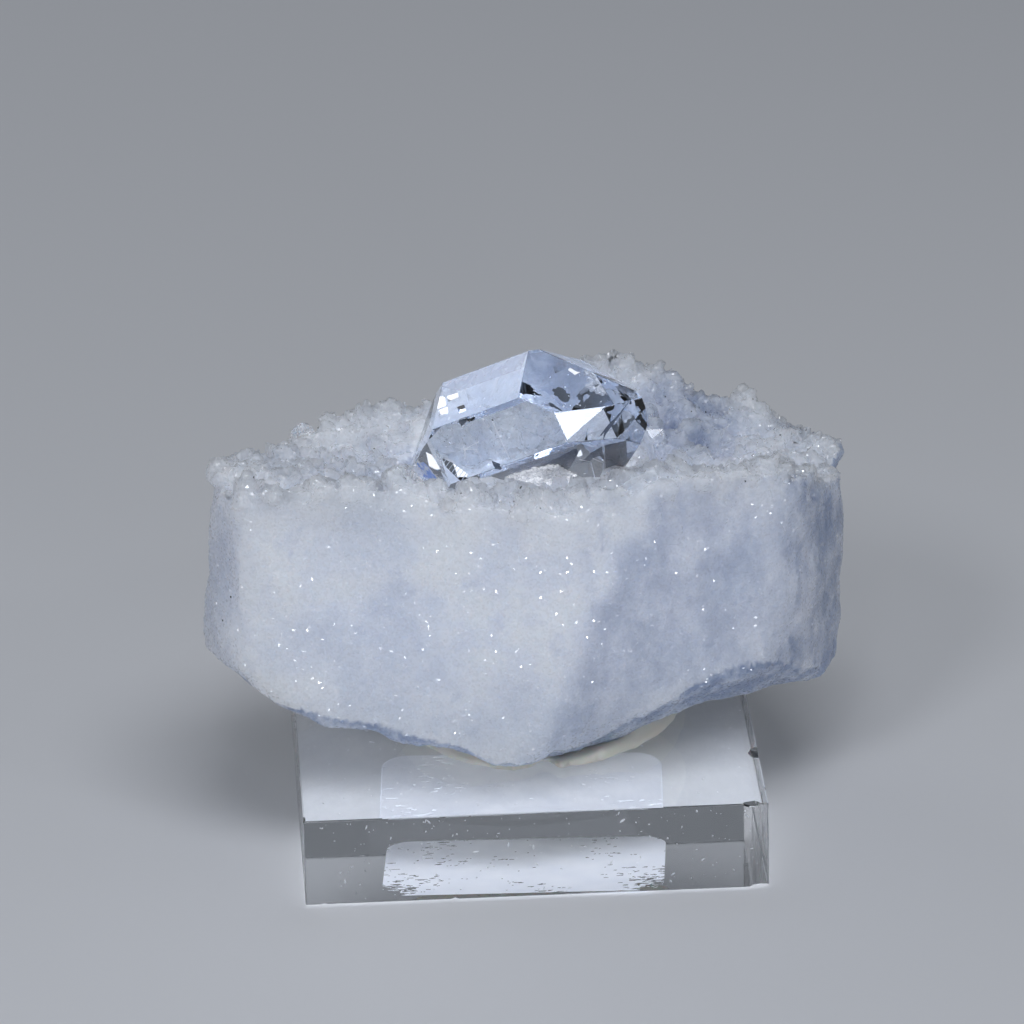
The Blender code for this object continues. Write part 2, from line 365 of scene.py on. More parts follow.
def settled_dust():
    low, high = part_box("base")
    draw = random.Random(31)
    bm = bmesh.new()
    for k in range(DUST_ON_TOP + DUST_ON_FRONT):
        size = (DUST_SIZES[0] + (DUST_SIZES[1] - DUST_SIZES[0]) * draw.random() ** 3) * MM
        long = draw.choice((1, 1, 1.6, 3.5))
        turn = Matrix.Rotation(draw.uniform(0, math.tau), 4, "Z" if k < DUST_ON_TOP else "Y")
        x = draw.uniform(low.x + 0.5 * MM, high.x - 0.5 * MM)
        if k < DUST_ON_TOP:
            place = Vector((x, draw.uniform(low.y + 0.5 * MM, high.y - 0.5 * MM), high.z + 0.3 * size))
            shape = (long, 1, 0.6)
        else:
            fall = draw.random() ** 1.6 * (high.z - low.z - 0.6 * MM)
            place = Vector((x, low.y - 0.3 * size, high.z - 0.3 * MM - fall))
            shape = (long, 0.6, 1)
        spot = Matrix.Translation(place) @ turn @ Matrix.Diagonal((*shape, 1))
        bmesh.ops.create_icosphere(bm, subdivisions=1, radius=size, matrix=spot)
    return bm


def grit():
    """Stone dust and paper fibre: matt, near white."""
    made, tree, shader, where = new_material("stone dust", Roughness=0.9)
    mixed = noise_of(tree, where, 1.5 * MM, 2)
    tree.links.new(blend_colours(tree, mixed, "#FFFFFF", "#C8CFDB"), shader.inputs["Base Color"])
    return made


dust = add_piece("settled_dust", settled_dust(), grit())
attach(dust, "root")


# Matrix
# A broken block of white, sugary crystalline rock. Its top is a hollow lined with lumps of
# druse that grew into each other, its walls are fresh breaks that let light into the stone, and
# its underside narrows to a keel.
STONE_CELL = 0.13 * MM
STONE_TRIANGLES = 194000
BREAK_SIZE = 6.0 * MM
BREAK_RELIEF = 0.35 * MM
BLOCK_SIZE = 1.5 * MM
BLOCK_RELIEF = 0.5 * MM
GRAIN_SIZE = 0.9 * MM
GRAIN_RELIEF = 0.07 * MM
CONTACT_REACH = 0.9 * MM
CONTACT_BITE = 0.03 * MM
STONE_WHITE = "#EDF1FA"
STONE_GREY = "#D8DFEC"
STONE_SHADE = "#BAC5D9"
# Painted shade: the darker bluish tone laid over the marked ends, chamfers, hollow and the break past the
# ridge.
STONE_PAINTED_SHADE = "#8393B1"
GLINT_CELL = 0.15 * MM
GLINT_SLANT = 1.7
GRAIN_SIZE = 0.7 * MM
# The share of the grains on a broken face that are clean enough to flash.
GLINT_SHARE = 0.4
GRAIN_SIDES = 6
# Flat breaks that trim the walls: the way each faces, and a point on it in millimetres from
# the middle of the block's underside.
WALL_BREAKS = (
    ((-0.894, -0.447, 0.0), (-20.3, -6.6, 18.0)),
    ((-0.16, -0.987, 0.03), (-9.0, -9.95, 20.0)),
    ((0.227, -0.974, 0.0), (10.0, -9.85, 20.0)),
    ((0.90, -0.434, -0.05), (20.5, -3.6, 18.0)),
    ((0.30, -0.62, -0.72), (12.5, -9.2, 12.2)),
    ((-0.55, -0.30, -0.78), (-18.6, -6.0, 12.6)),
)
BREAK_SOFTNESS = 0.25
# The photograph pixel in the middle of the deep, shaded part of the hollow, and two pixels on the blunt
# ridge that crosses the front. Painted shade darkens that hollow and the break to the right of the ridge.
HOLLOW = (688, 412)
RIDGE = ((650, 480), (545, 710))


def cad_copy(node):
    """The CAD node's mesh as a bmesh, its loose triangles merged."""
    bm = bmesh.new()
    bm.from_mesh(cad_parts[node].data)
    bmesh.ops.remove_doubles(bm, verts=bm.verts, dist=0.001 * MM)
    return bm


def crystal_planes():
    """Outward normals of the crystal's natural faces and their distances from the origin."""
    bm = cad_copy("crystal")
    bm.normal_update()
    normals = []
    reaches = []
    for face in bm.faces:
        if face.calc_area() > (0.3 * MM) ** 2 and all(face.normal.dot(n) < 0.999 for n in normals):
            normals.append(face.normal.copy())
            reaches.append(face.normal.dot(face.verts[0].co))
    bm.free()
    return np.array(normals), np.array(reaches)


QUARTZ_NORMALS, QUARTZ_REACHES = crystal_planes()


def from_crystal(places):
    """How far each point is outside the crystal, and which face it is nearest to."""
    depth = places @ QUARTZ_NORMALS.T - QUARTZ_REACHES
    nearest = depth.argmax(axis=1)
    return depth[np.arange(len(places)), nearest], nearest


def step(low, high, value):
    """Smooth 0 to 1 as value goes from low to high."""
    share = np.clip((value - low) / (high - low), 0, 1)
    return share * share * (3 - 2 * share)


def points_of(mesh):
    values = np.empty(len(mesh.vertices) * 3, np.float32)
    mesh.vertices.foreach_get("co", values)
    return values.reshape(-1, 3).astype(float)


def normals_of(mesh):
    values = np.empty(len(mesh.vertices) * 3, np.float32)
    mesh.vertex_normals.foreach_get("vector", values)
    return values.reshape(-1, 3).astype(float)


def set_points(mesh, places):
    mesh.vertices.foreach_set("co", places.astype(np.float32).ravel())
    mesh.update()


def remesh(piece, cell, rounds):
    """Closes the piece's overlapping shapes into one skin of this cell, then softens it."""
    skin = piece.modifiers.new("one skin", "REMESH")
    skin.mode = "VOXEL"
    skin.voxel_size = cell
    soft = piece.modifiers.new("soften", "SMOOTH")
    soft.factor = 0.5
    soft.iterations = rounds
    bake(piece)


def grain_form(radius, blunt):
    """One small quartz, one unit long: a six-sided stub with a pointed end, more or less blunt."""
    bm = bmesh.new()
    made = []
    for z in (-0.5, 0.5 - blunt):
        made.append([
            bm.verts.new((
                radius * math.cos(math.tau * k / GRAIN_SIDES),
                radius * math.sin(math.tau * k / GRAIN_SIDES) * 0.85,
                z,
            ))
            for k in range(GRAIN_SIDES)
        ])
    tip = bm.verts.new((0.06, 0.0, 0.5))
    bm.faces.new(reversed(made[0]))
    for k in range(GRAIN_SIDES):
        n = (k + 1) % GRAIN_SIDES
        bm.faces.new((made[0][k], made[0][n], made[1][n], made[1][k]))
        bm.faces.new((made[1][k], made[1][n], tip))
    return bm


def scatter_tree():
    """Geometry nodes that grow one shape over a surface, thinned by a named mask."""
    tree = bpy.data.node_groups.new("grown grains", "GeometryNodeTree")
    for name, kind in (
        ("Surface", "Geometry"), ("Mask", "String"), ("Grain", "Object"), ("Spacing", "Float"),
        ("Density", "Float"), ("Smallest", "Float"), ("Largest", "Float"), ("Lean", "Float"),
        ("Sink", "Float"), ("Seed", "Int"), ("Finish", "Material"),
    ):
        tree.interface.new_socket(name, in_out="INPUT", socket_type="NodeSocket" + kind)
    tree.interface.new_socket("Grains", in_out="OUTPUT", socket_type="NodeSocketGeometry")
    given = tree.nodes.new("NodeGroupInput").outputs

    def minus(first, second):
        return add_node(tree, "ShaderNodeMath", {0: first, 1: second}, operation="SUBTRACT").outputs[0]

    def vector(x, y, z):
        return add_node(tree, "ShaderNodeCombineXYZ", {"X": x, "Y": y, "Z": z}).outputs[0]

    mask = add_node(
        tree, "GeometryNodeInputNamedAttribute", {"Name": given["Mask"]}, data_type="FLOAT"
    ).outputs["Attribute"]
    spread = add_node(
        tree, "GeometryNodeDistributePointsOnFaces",
        {
            "Mesh": given["Surface"], "Distance Min": given["Spacing"],
            "Density Max": given["Density"], "Density Factor": mask, "Seed": given["Seed"],
        },
        distribute_method="POISSON",
    ).outputs
    draw = {2: given["Smallest"], 3: given["Largest"], "Seed": given["Seed"]}
    size = add_node(tree, "FunctionNodeRandomValue", draw, data_type="FLOAT").outputs[1]
    least = minus(0.0, given["Lean"])
    draw = {
        0: vector(least, least, -math.pi), 1: vector(given["Lean"], given["Lean"], math.pi),
        "Seed": given["Seed"],
    }
    lean = add_node(tree, "FunctionNodeRandomValue", draw, data_type="FLOAT_VECTOR").outputs[0]
    lean = add_node(tree, "FunctionNodeEulerToRotation", {0: lean}).outputs[0]
    turn = add_node(
        tree, "FunctionNodeRotateRotation",
        {"Rotation": spread["Rotation"], "Rotate By": lean}, rotation_space="LOCAL",
    ).outputs[0]
    shape = add_node(tree, "GeometryNodeObjectInfo", {"Object": given["Grain"]}).outputs["Geometry"]
    grown = add_node(
        tree, "GeometryNodeInstanceOnPoints",
        {"Points": spread["Points"], "Instance": shape, "Rotation": turn, "Scale": size},
    ).outputs[0]
    drop = add_node(tree, "ShaderNodeMath", {0: size, 1: given["Sink"]}, operation="MULTIPLY").outputs[0]
    sunk = add_node(
        tree, "GeometryNodeTranslateInstances",
        {"Instances": grown, "Translation": vector(0.0, 0.0, minus(0.0, drop))},
    ).outputs[0]
    real = add_node(tree, "GeometryNodeRealizeInstances", {0: sunk}).outputs[0]
    done = add_node(tree, "GeometryNodeSetMaterial", {0: real, "Material": given["Finish"]}).outputs[0]
    add_node(tree, "NodeGroupOutput", {0: done})
    return tree


SCATTER = scatter_tree()


def grow(name, surface, mask, shape, finish, **values):
    """Grows a piece of grains over a copy of the surface. The mask is one value per vertex."""
    mesh = surface.data.copy()
    mesh.attributes.new("mask", "FLOAT", "POINT").data.foreach_set("value", np.asarray(mask, np.float32))
    piece = add_piece(name, mesh)
    growth = piece.modifiers.new("growth", "NODES")
    growth.node_group = SCATTER
    values = {"Mask": "mask", "Grain": shape, "Finish": finish, **values}
    for item in SCATTER.interface.items_tree:
        if item.in_out == "INPUT" and item.name in values:
            growth[item.identifier] = values[item.name]
    bake(piece)
    return piece


def merge(name, *pieces):
    """Joins meshes into one piece, overlaps and all."""
    bm = bmesh.new()
    for piece in pieces:
        bm.from_mesh(piece.data)
        bpy.data.objects.remove(piece)
    return add_piece(name, bm)


def druse_share(mesh):
    """1 where the rock faces up or lies along the upper rim, and 0 down its walls."""
    places = points_of(mesh)
    up = normals_of(mesh)[:, 2]
    low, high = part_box("matrix")
    height = (places[:, 2] - low.z) / (high.z - low.z)
    wander = np.array([noise.noise(Vector(p) / (3 * MM)) for p in places]) * 0.08
    rim = step(0.45, 0.95, height + 2 * wander) * step(-0.5, 0.0, up)
    return np.maximum(step(0.3, 0.7, up), 0.3 * rim)


def trim(places):
    """Pushes what stands outside each flat break back to it, leaving a little of the swell."""
    low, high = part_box("base")
    middle = np.array(((low.x + high.x) / 2, (low.y + high.y) / 2, low.z))
    for facing, point in WALL_BREAKS:
        facing = np.array(facing) / np.linalg.norm(facing)
        past = (places - middle - np.array(point) * MM) @ facing
        places -= facing * (np.maximum(past, 0) * (1 - BREAK_SOFTNESS))[:, None]


def meet_crystal(places):
    """Draws the rock that lies near the crystal up to its faces, and pushes none through."""
    away, face = from_crystal(places)
    near = away < CONTACT_REACH
    wanted = (away[near] - 0.3 * MM) * CONTACT_REACH / (CONTACT_REACH - 0.3 * MM)
    wanted = np.maximum(wanted, -CONTACT_BITE)
    places[near] += QUARTZ_NORMALS[face[near]] * (wanted - away[near])[:, None]


def painted_shade_marks(mesh):
    """Marks where the rock gets painted shade: its ends, its chamfers underneath, the hollow and the
    break right of the front ridge.
    """
    places = points_of(mesh)
    core = cad_copy("matrix")
    broad = BVHTree.FromBMesh(core)
    facing = np.array([broad.find_nearest(Vector(place))[1] for place in places])
    core.free()
    off_line = np.linalg.norm(np.cross(places - np.array(CAMERA_SPOT), np.array(sight(HOLLOW))), axis=1)
    wander = np.array([noise.noise(Vector(p) / (2.5 * MM)) for p in places])
    ends = step(0.35, 1.0, np.abs(facing[:, 0]) + 0.3 * wander)
    ends = ends * np.where(places[:, 0] > 0, 1.0, 0.3)
    past = Vector(sight(RIDGE[1])).cross(Vector(sight(RIDGE[0]))).normalized()
    beside = (places - np.array(CAMERA_SPOT)) @ np.array(past) + 0.8 * MM * wander
    right = step(-0.3 * MM, 1.5 * MM, beside) * step(0.3, 0.8, -facing[:, 1])
    under = step(0.15, 0.5, -facing[:, 2])
    deep = step(5.5 * MM, 1.5 * MM, off_line + 1.5 * MM * wander) * step(0.0, 0.4, facing[:, 2])
    share = np.maximum(np.maximum(ends, 1.3 * under), 0.9 * deep)
    share = np.clip(np.maximum(share, 0.45 * right), 0, 1.3)
    mesh.attributes.new("clearer", "FLOAT", "POINT").data.foreach_set("value", share.astype(np.float32))


def blocky(places, facing, share, size, height):
    """Breaks the surface up into slanted facets of about this size, like grown crystals."""
    for k in np.flatnonzero(share > 0.02):
        place = Vector(places[k])
        centre = noise.voronoi(place / size)[1][0]
        lift = (noise.cell(centre * 7.3) - 0.3) * share[k]
        slant = noise.cell_vector(centre * 5.1) - Vector((0.5, 0.5, 0.5))
        lift += 1.6 * slant.dot(place / size - centre)
        places[k] += facing[k] * height * lift * share[k]


def relax_folds(mesh, rounds=3):
    """Smooths the few spots where the thinned skin has folded over itself."""
    bm = bmesh.new()
    bm.from_mesh(mesh)
    for _ in range(rounds):
        bm.normal_update()
        folded = set()
        for edge in bm.edges:
            if edge.link_faces[0].normal.dot(edge.link_faces[1].normal) < -0.2:
                folded.update(edge.verts)
        for vert in list(folded):
            folded.update(edge.other_vert(vert) for edge in vert.link_edges)
        bmesh.ops.smooth_vert(
            bm, verts=list(folded), factor=0.8, use_axis_x=True, use_axis_y=True, use_axis_z=True
        )
    bm.to_mesh(mesh)
    bm.free()


def stone_form():
    """The CAD matrix with weathered breaks, its druse grown into one skin, and a fine grain."""
    core = add_piece("core", cad_copy("matrix"))
    remesh(core, 0.35 * MM, 8)
    places = points_of(core.data)
    trim(places)
    set_points(core.data, places)
    facing = normals_of(core.data)
    bulk = np.array([noise.fractal(Vector(p) / BREAK_SIZE, 0.7, 2.1, 4) for p in places])
    set_points(core.data, places + facing * (bulk * BREAK_RELIEF)[:, None])
    share = druse_share(core.data) * step(0.2 * MM, 1.0 * MM, from_crystal(places)[0])
    back = step(-2 * MM, 4 * MM, places[:, 1])
    right = step(8 * MM, 13 * MM, places[:, 0])
    left = step(-14.5 * MM, -17 * MM, places[:, 0])
    fine = np.maximum(np.maximum(back * step(-9 * MM, -2 * MM, places[:, 0]), right), left)
    block = add_piece("blocky grain", grain_form(0.46, 0.2))
    sharp = add_piece("sharp grain", grain_form(0.34, 0.35))
    lumps = grow(
        "lumps", core, step(0.35, 0.8, share) * (1 - 0.8 * fine), block, None, Spacing=1.0 * MM,
        Density=1.2 / MM**2, Smallest=1.1 * MM, Largest=2.7 * MM, Lean=0.7, Sink=0.36, Seed=3,
    )
    knobs = grow(
        "knobs", core, step(0.35, 0.8, share) * (0.12 + 0.5 * fine), sharp, None, Spacing=0.6 * MM,
        Density=2.0 / MM**2, Smallest=0.9 * MM, Largest=1.6 * MM, Lean=0.8, Sink=0.4, Seed=5,
    )
    sugar = grow(
        "sugar", core, step(0.35, 0.8, share) * (0.1 + 0.9 * fine), sharp, None, Spacing=0.36 * MM,
        Density=14 / MM**2, Smallest=0.5 * MM, Largest=1.0 * MM, Lean=0.7, Sink=0.36, Seed=8,
    )
    for shape in (block, sharp):
        bpy.data.objects.remove(shape)
    stone = merge("white_matrix", core, lumps, knobs, sugar)
    remesh(stone, STONE_CELL, 1)
    places = points_of(stone.data)
    facing = normals_of(stone.data)
    share = druse_share(stone.data)
    bare = step(0.3 * MM, 1.3 * MM, from_crystal(places)[0])
    blocky(places, facing, np.maximum(share, 0.06) * bare, BLOCK_SIZE, BLOCK_RELIEF)
    blocky(places, facing, share**2 * bare, BLOCK_SIZE / 2, BLOCK_RELIEF / 2)
    grain = np.array([noise.fractal(Vector(p) / GRAIN_SIZE, 0.6, 2.2, 3) for p in places])
    places += facing * (grain * GRAIN_RELIEF)[:, None]
    meet_crystal(places)
    set_points(stone.data, places)
    thin = stone.modifiers.new("thin", "DECIMATE")
    stone.data.calc_loop_triangles()
    thin.ratio = min(1.0, STONE_TRIANGLES / len(stone.data.loop_triangles))
    bake(stone)
    relax_folds(stone.data)
    # Painted shade: marks the ends, chamfers, hollow and the break past the ridge for the darker tone.
    painted_shade_marks(stone.data)
    stone.data.shade_smooth()
    stone.data.set_sharp_from_angle(angle=math.radians(38))
    return stone


def sparkle(tree, shader, where, cell):
    """Tilts the skin of each small crystal its own way, so that a few of them flash."""
    face = add_node(tree, "ShaderNodeTexVoronoi", {"Vector": where, "Scale": 1 / cell})
    centred = add_node(
        tree, "ShaderNodeVectorMath", {0: face.outputs["Color"], 1: (0.5, 0.5, 0.5)},
        operation="SUBTRACT",
    ).outputs[0]
    own = add_node(tree, "ShaderNodeNewGeometry").outputs["Normal"]
    up = add_node(tree, "ShaderNodeSeparateXYZ", {0: own}).outputs["Z"]
    slant = add_node(
        tree, "ShaderNodeVectorMath",
        {0: centred, "Scale": GLINT_SLANT},
        operation="SCALE",
    ).outputs[0]
    tilted = add_node(tree, "ShaderNodeVectorMath", {0: own, 1: slant}, operation="ADD").outputs[0]
    level = add_node(tree, "ShaderNodeVectorMath", {0: tilted}, operation="NORMALIZE").outputs[0]
    tree.links.new(level, shader.inputs["Coat Normal"])
    pick = add_node(
        tree, "ShaderNodeTexWhiteNoise", {"Vector": face.outputs["Position"]}
    ).outputs["Value"]
    share = ramp(tree, up, 0.2, 0.7, GLINT_SHARE, 1.0)
    clean = add_node(tree, "ShaderNodeMath", {0: pick, 1: share}, operation="LESS_THAN").outputs[0]
    tree.links.new(ramp(tree, clean, 0.0, 1.0, 0.25, 1.0), shader.inputs["Coat Weight"])


def sugary_stone():
    """Massive white quartz: light enters the stone and comes out soft, with glints of grain."""
    made, tree, shader, where = new_material(
        "sugary white stone", IOR=1.54, Subsurface_Weight=1.0, Subsurface_Scale=10 * MM,
        Subsurface_Radius=(1.1, 1.0, 0.95), Subsurface_Anisotropy=0.3, Roughness=0.45,
        Coat_IOR=1.8, Coat_Roughness=0.05,
    )
    cloud = noise_of(tree, where, 7 * MM, 4, 0.6)
    mottle = noise_of(tree, where, 1.6 * MM, 4, 0.6)
    soft = blend_colours(tree, ramp(tree, cloud, 0.35, 0.68), STONE_WHITE, STONE_GREY)
    tint = blend_colours(tree, ramp(tree, mottle, 0.55, 0.8, 0, 0.5), soft, STONE_SHADE)
    # Painted shade: the marked ends, chamfers, hollow and break past the ridge blend, in streaky patches,
    # towards the darker tone.
    clearer = add_node(
        tree, "ShaderNodeAttribute", attribute_name="clearer", attribute_type="GEOMETRY"
    ).outputs["Fac"]
    streaks = add_node(tree, "ShaderNodeMapping", {"Vector": where, "Scale": (1, 1, 0.6)}).outputs[0]
    patchy = ramp(tree, noise_of(tree, streaks, 1.8 * MM, 5, 0.65), 0.25, 0.7, 0.3, 1.0)
    # The share of painted shade at each point.
    glassy = add_node(tree, "ShaderNodeMath", {0: clearer, 1: patchy}, operation="MULTIPLY").outputs[0]
    tint = blend_colours(tree, glassy, tint, STONE_PAINTED_SHADE)
    tree.links.new(tint, shader.inputs["Base Color"])
    bump(tree, shader, noise_of(tree, where, GRAIN_SIZE, 4, 0.65), 0.12 * MM, 0.9)
    sparkle(tree, shader, where, GLINT_CELL)
    return made


white_stone = sugary_stone()
matrix = stone_form()
matrix.data.materials.clear()
matrix.data.materials.append(white_stone)
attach(matrix, "root")
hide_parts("matrix")


# Putty
# A lump of cream mineral putty, squeezed out between the block and the rock and pressed round
# with a thumb. It sticks to both.
PUTTY_CELL = 0.25 * MM
PUTTY_CREAM = "#EAE9DE"
PUTTY_SHADE = "#D8D6C8"
THUMB_SIZE = 2.2 * MM


def putty_form():
    """The CAD putty, grown until it touches the rock and the block."""
    putty = add_piece("tack_putty", cad_copy("putty"))
    remesh(putty, PUTTY_CELL, 6)
    mesh = putty.data
    places = points_of(mesh)
    facing = normals_of(mesh)
    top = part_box("base")[1].z
    for k, place in enumerate(places):
        thumb = noise.fractal(Vector(place) / THUMB_SIZE, 0.9, 2.0, 3) * 0.12
        places[k] += facing[k] * (0.34 + thumb) * MM
    places[:, 2] = np.maximum(places[:, 2], top - 0.01 * MM)
    set_points(mesh, places)
    mesh.shade_smooth()
    return putty


def tack():
    """Mineral putty: matt and waxy, with faint finger smears."""
    made, tree, shader, where = new_material(
        "mineral putty", Subsurface_Weight=0.3, Subsurface_Scale=0.5 * MM, Roughness=0.55
    )
    smear = noise_of(tree, where, 1.8 * MM, 4)
    tree.links.new(blend_colours(tree, smear, PUTTY_CREAM, PUTTY_SHADE), shader.inputs["Base Color"])
    bump(tree, shader, noise_of(tree, where, 0.3 * MM, 3), 0.02 * MM)
    return made


putty = putty_form()
putty.data.materials.clear()
putty.data.materials.append(tack())
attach(putty, "root")
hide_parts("putty")


# Loose grains
# Tiny glassy quartz crystals that stand on the up-facing druse, clear of the crystal, where they make the
# rock glitter.


def crushed_quartz():
    """Rubble of broken quartz: frosted by its breaks, half clear and half white."""
    made, tree, shader, where = new_material(
        "crushed quartz", Base_Color=(1, 1, 1, 1), IOR=1.544, Transmission_Weight=0.2
    )
    frost = noise_of(tree, where, 0.3 * MM, 2)
    tree.links.new(ramp(tree, frost, 0.4, 0.6, 0.05, 0.4), shader.inputs["Roughness"])
    return made


def grown_quartz():
    """Small quartz crystals: clear and glassy, so they take the stone's white and flash."""
    made, tree, shader, where = new_material(
        "clear drusy quartz", Base_Color=(1, 1, 1, 1), IOR=1.544, Transmission_Weight=1.0
    )
    veil = noise_of(tree, where, 0.4 * MM, 2)
    tree.links.new(ramp(tree, veil, 0.4, 0.7, 0.02, 0.2), shader.inputs["Roughness"])
    return made


drusy_quartz = grown_quartz()
sharp = add_piece("sharp grain", grain_form(0.34, 0.35))
places = points_of(matrix.data)
facing = normals_of(matrix.data)
druse = druse_share(matrix.data)
open_ground = step(0.4 * MM, 1.0 * MM, from_crystal(places)[0])
loose = grow(
    "loose_grains", matrix, step(0.5, 0.9, druse) * open_ground, sharp, drusy_quartz,
    Spacing=0.3 * MM, Density=0.4 / MM**2, Smallest=0.25 * MM, Largest=0.5 * MM, Lean=0.8,
    Sink=0.35, Seed=8,
)
loose.visible_shadow = False
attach(loose, "root")
bpy.data.objects.remove(sharp)


# Crystal
# One water-clear quartz, pointed at both ends, grown in the hollow. Its natural faces are flat
# and mirror bright. Thin gaps where it cracked inside turn the light round and flash white.
CRYSTAL_EDGE = 0.03 * MM
QUARTZ_IOR = 1.544
QUARTZ_TINT = (0.80, 0.84, 0.90, 1.0)
QUARTZ_DENSITY = 130.0
WAVE_LENGTH = 2.5 * MM
WAVE_HEIGHT = 0.004 * MM
CRACK_GAP = 0.015 * MM
WALL_LEFT = 0.08 * MM
# The line on the upper tip face where a second, slightly steeper face begins, in photograph
# pixels, and how far that face leans towards the next one.
TIP_LINE = ((589.5, 421.0), (568.8, 439.1))
TIP_LEAN = 0.3
# Cracks: the outline in photograph pixels, the depth in millimetres behind the crystal's face,
# the way the gap faces, and how many strips the growth lines split it into.
TOWARDS_BACK_LIGHT = (-0.897, -0.262, 0.356)
CRACKS = (
    (((442, 458), (453, 463), (468, 474), (476, 487), (471, 488), (458, 479), (446, 467)),
     1.6, (-0.77, -0.371, 0.519), 8),
    (((426, 452), (432, 455), (437, 463), (442, 472), (439, 471), (429, 466)),
     1.3, TOWARDS_BACK_LIGHT, 1),
    (((420.5, 451), (422.5, 455.5), (419, 460), (416, 458)), 0.9, TOWARDS_BACK_LIGHT, 1),
    (((433, 400.5), (445, 397), (446.5, 405.5), (438, 409)), 1.5, (-0.74, -0.125, 0.661), 1),
    (((447, 396), (458, 392.5), (459, 398), (448.5, 401.5)), 1.5, (-0.526, -0.013, 0.85), 1),
    (((439, 410), (447.5, 406.5), (448.5, 413), (441, 415)), 1.5, (-0.74, -0.125, 0.661), 1),
    (((457, 407), (464, 404.5), (466, 410.5), (459.5, 414)), 1.8, (-0.768, -0.607, -0.205), 1),
    (((574, 363.5), (581, 367), (580.5, 372), (575, 375), (568, 370)),
     1.5, (-0.13, -0.14, 0.981), 1),
    (((576.5, 456), (583.5, 450), (583, 455), (578, 459)), 1.0, (-0.654, -0.463, 0.598), 1),
)


def first_face(pixel):
    """Which face of the crystal the camera sees at this pixel, and where."""
    way = np.array(sight(pixel))
    facing = QUARTZ_NORMALS @ way
    far = (QUARTZ_REACHES - QUARTZ_NORMALS @ np.array(CAMERA_SPOT)) / facing
    face = max(np.flatnonzero(facing < 0), key=lambda k: far[k])
    return face, CAMERA_SPOT + Vector(way) * far[face]


def bent_sight(pixel):
    """Where the line of sight enters the crystal, and its way on through the quartz."""
    face, place = first_face(pixel)
    way = sight(pixel)
    normal = Vector(QUARTZ_NORMALS[face])
    bend = 1 / QUARTZ_IOR
    lean = -normal.dot(way)
    inside = bend * way + (bend * lean - math.sqrt(1 - bend**2 * (1 - lean**2))) * normal
    return place, inside.normalized()


def sealed(pixel, depth):
    """The point this many millimetres into the crystal, as the camera sees it."""
    place, way = bent_sight(pixel)
    return place + way * depth * MM


def kept_inside(place, middle):
    """Draws a point towards the middle until it lies inside the crystal's skin."""
    for _ in range(12):
        if from_crystal(np.array([place]))[0][0] < -WALL_LEFT:
            break
        place = place.lerp(middle, 0.15)
    return place


def sealed_outline(outline, depth, facing):
    """An outline in pixels, laid on the plane at this depth that faces this way."""
    count = len(outline)
    centre = (sum(p[0] for p in outline) / count, sum(p[1] for p in outline) / count)
    middle = sealed(centre, depth)
    places = []
    for pixel in outline:
        start, way = bent_sight(pixel)
        place = start + way * ((middle - start).dot(facing) / way.dot(facing))
        places.append(kept_inside(place, middle))
    return places


def thin_plate(bm, places, offset):
    """A closed plate with this outline and this thickness. Returns its faces."""
    near = [bm.verts.new(place) for place in places]
    far = [bm.verts.new(place + offset) for place in places]
    made = [bm.faces.new(near), bm.faces.new(list(reversed(far)))]
    for k in range(len(near)):
        n = (k + 1) % len(near)
        made.append(bm.faces.new((near[n], near[k], far[k], far[n])))
    bmesh.ops.recalc_face_normals(bm, faces=made)
    return made


def strips_of(places, count):
    """Splits an outline across its length into this many narrow strips."""
    if count == 1:
        return [places]
    bm = bmesh.new()
    bm.faces.new([bm.verts.new(place) for place in places])
    first, last = places[0], max(places, key=lambda p: (p - places[0]).length)
    along = last - first
    strips = []
    for k in range(count):
        part = bm.copy()
        for share, keep in ((k / count + 0.01, 1), ((k + 1) / count - 0.01, -1)):
            bmesh.ops.bisect_plane(
                part, geom=part.verts[:] + part.edges[:] + part.faces[:],
                plane_co=first + along * share, plane_no=along * -keep, clear_outer=True,
            )
        for face in part.faces:
            strips.append([vert.co.copy() for vert in face.verts])
        part.free()
    bm.free()
    return strips


def second_tip_face(bm):
    """Trims the upper tip face past its line with a slightly steeper face."""
    global QUARTZ_NORMALS, QUARTZ_REACHES
    face, start = first_face(TIP_LINE[0])
    end = first_face(TIP_LINE[1])[1]
    beside = first_face((640, 430))[0]
    normal = Vector(QUARTZ_NORMALS[face]).lerp(Vector(QUARTZ_NORMALS[beside]), TIP_LEAN)
    line = (end - start).normalized()
    normal = (normal - line * normal.dot(line)).normalized()
    cut = bmesh.ops.bisect_plane(
        bm, geom=bm.verts[:] + bm.edges[:] + bm.faces[:], plane_co=start, plane_no=normal,
        clear_outer=True,
    )
    rim = [item for item in cut["geom_cut"] if isinstance(item, bmesh.types.BMEdge)]
    bmesh.ops.contextual_create(bm, geom=rim)
    QUARTZ_NORMALS = np.vstack((QUARTZ_NORMALS, np.array(normal)))
    QUARTZ_REACHES = np.append(QUARTZ_REACHES, normal.dot(start))


def crystal_form():
    bm = cad_copy("crystal")
    bmesh.ops.dissolve_limit(bm, angle_limit=math.radians(1), verts=bm.verts, edges=bm.edges)
    second_tip_face(bm)
    bmesh.ops.bevel(bm, geom=bm.edges[:], offset=CRYSTAL_EDGE, segments=1, affect="EDGES")
    for outline, depth, facing, strips in CRACKS:
        facing = Vector(facing).normalized()
        for places in strips_of(sealed_outline(outline, depth, facing), strips):
            walls = thin_plate(bm, places, facing * -CRACK_GAP)
            bmesh.ops.reverse_faces(bm, faces=walls)
    return bm


